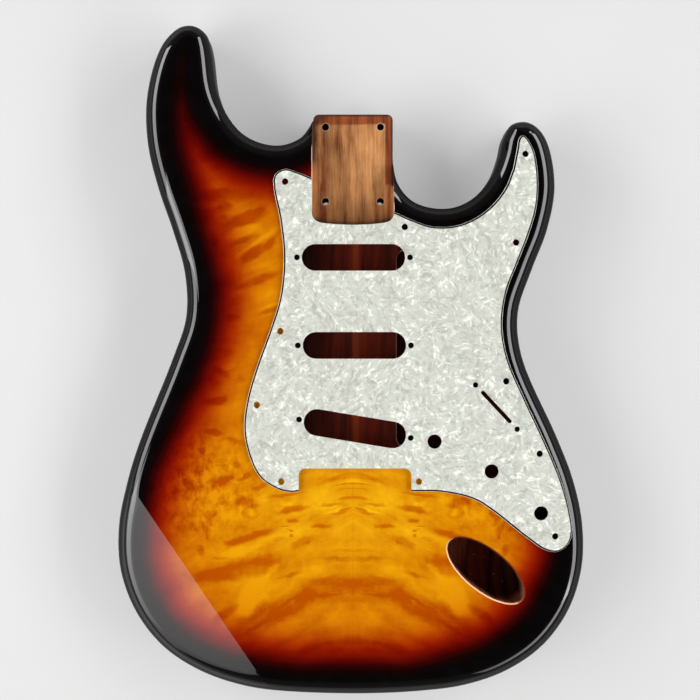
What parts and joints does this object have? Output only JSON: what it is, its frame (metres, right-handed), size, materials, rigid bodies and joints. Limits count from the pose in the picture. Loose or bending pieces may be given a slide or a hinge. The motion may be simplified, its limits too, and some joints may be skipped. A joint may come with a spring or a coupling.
{
  "type": "electric guitar body",
  "caption": "Bolt-on electric guitar body with horned cutaways, chambered core boards, a bookmatched sunburst top, routed cavities and a loose pearl pickguard.",
  "frame": {"origin": "on the flat back, on the centre line, at half of the body's length", "axes": "+Z out of the front face, +Y along the centre line to the neck, +X to the treble side"},
  "size_m": [0.3226, 0.4611, 0.0468],
  "materials": {
    "core_wood": "dark stain and clear gloss lacquer outside, bare in the neck pocket",
    "top_wood": "amber to black sunburst under clear gloss lacquer",
    "white_plastic": "satin",
    "black_plastic": "satin",
    "pearl_plastic": "gloss with pearl figure"
  },
  "bodies": {
    "body": {"core_bass_board": "core_wood", "core_treble_board": "core_wood", "top_bass_leaf": "top_wood", "top_treble_leaf": "top_wood"},
    "pickguard": {"pickguard_base_ply": "white_plastic", "pickguard_black_ply": "black_plastic", "pickguard_white_ply": "white_plastic", "pickguard_pearl_ply": "pearl_plastic"}
  },
  "joints": [
    {"name": "pickguard_lift", "type": "slide", "parent": "body", "child": "pickguard", "axis": [0, 0, 1], "range_m": [0, 0.06]}
  ]
}
